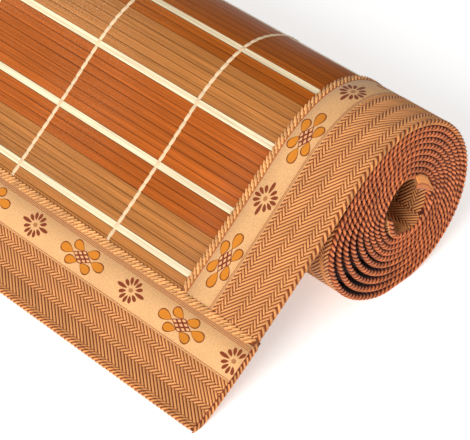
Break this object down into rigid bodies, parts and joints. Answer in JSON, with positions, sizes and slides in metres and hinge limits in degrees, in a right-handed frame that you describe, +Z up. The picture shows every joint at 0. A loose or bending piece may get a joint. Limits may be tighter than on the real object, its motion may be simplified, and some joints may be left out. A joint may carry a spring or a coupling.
{
  "type": "rolled bamboo mat",
  "caption": "Bamboo slat sleeping mat with a woven border and a printed ribbon, rolled up round a hollow core with its free end sloping down to the floor.",
  "frame": {"origin": "on the floor, under the middle of the whole part", "axes": "+Z up, X along the slats and the roll's axis, +Y from the free end towards the roll"},
  "size_m": [0.9032, 0.2128, 0.1058],
  "materials": {
    "bamboo": "carbonised bamboo, lacquered, slightly glossy, with paler slats at even distances",
    "binding_cloth": "woven herringbone, matt",
    "ribbon": "jacquard ribbon with flowers and knots, matt",
    "braid": "plaited cord, matt"
  },
  "bodies": {
    "root": {"slat_panel": "bamboo", "core_tab": "ribbon", "side_binding_right": "binding_cloth", "side_ribbon_right": "ribbon", "side_braid_right": "braid", "side_binding_left": "binding_cloth", "side_ribbon_left": "ribbon", "side_braid_left": "braid", "front_binding": "binding_cloth", "front_ribbon": "ribbon", "front_braid": "braid", "front_fold_right": "binding_cloth", "front_fold_left": "binding_cloth", "inner_binding": "binding_cloth", "inner_ribbon": "ribbon", "inner_braid": "braid", "inner_fold_right": "binding_cloth", "inner_fold_left": "binding_cloth"}
  },
  "joints": []
}
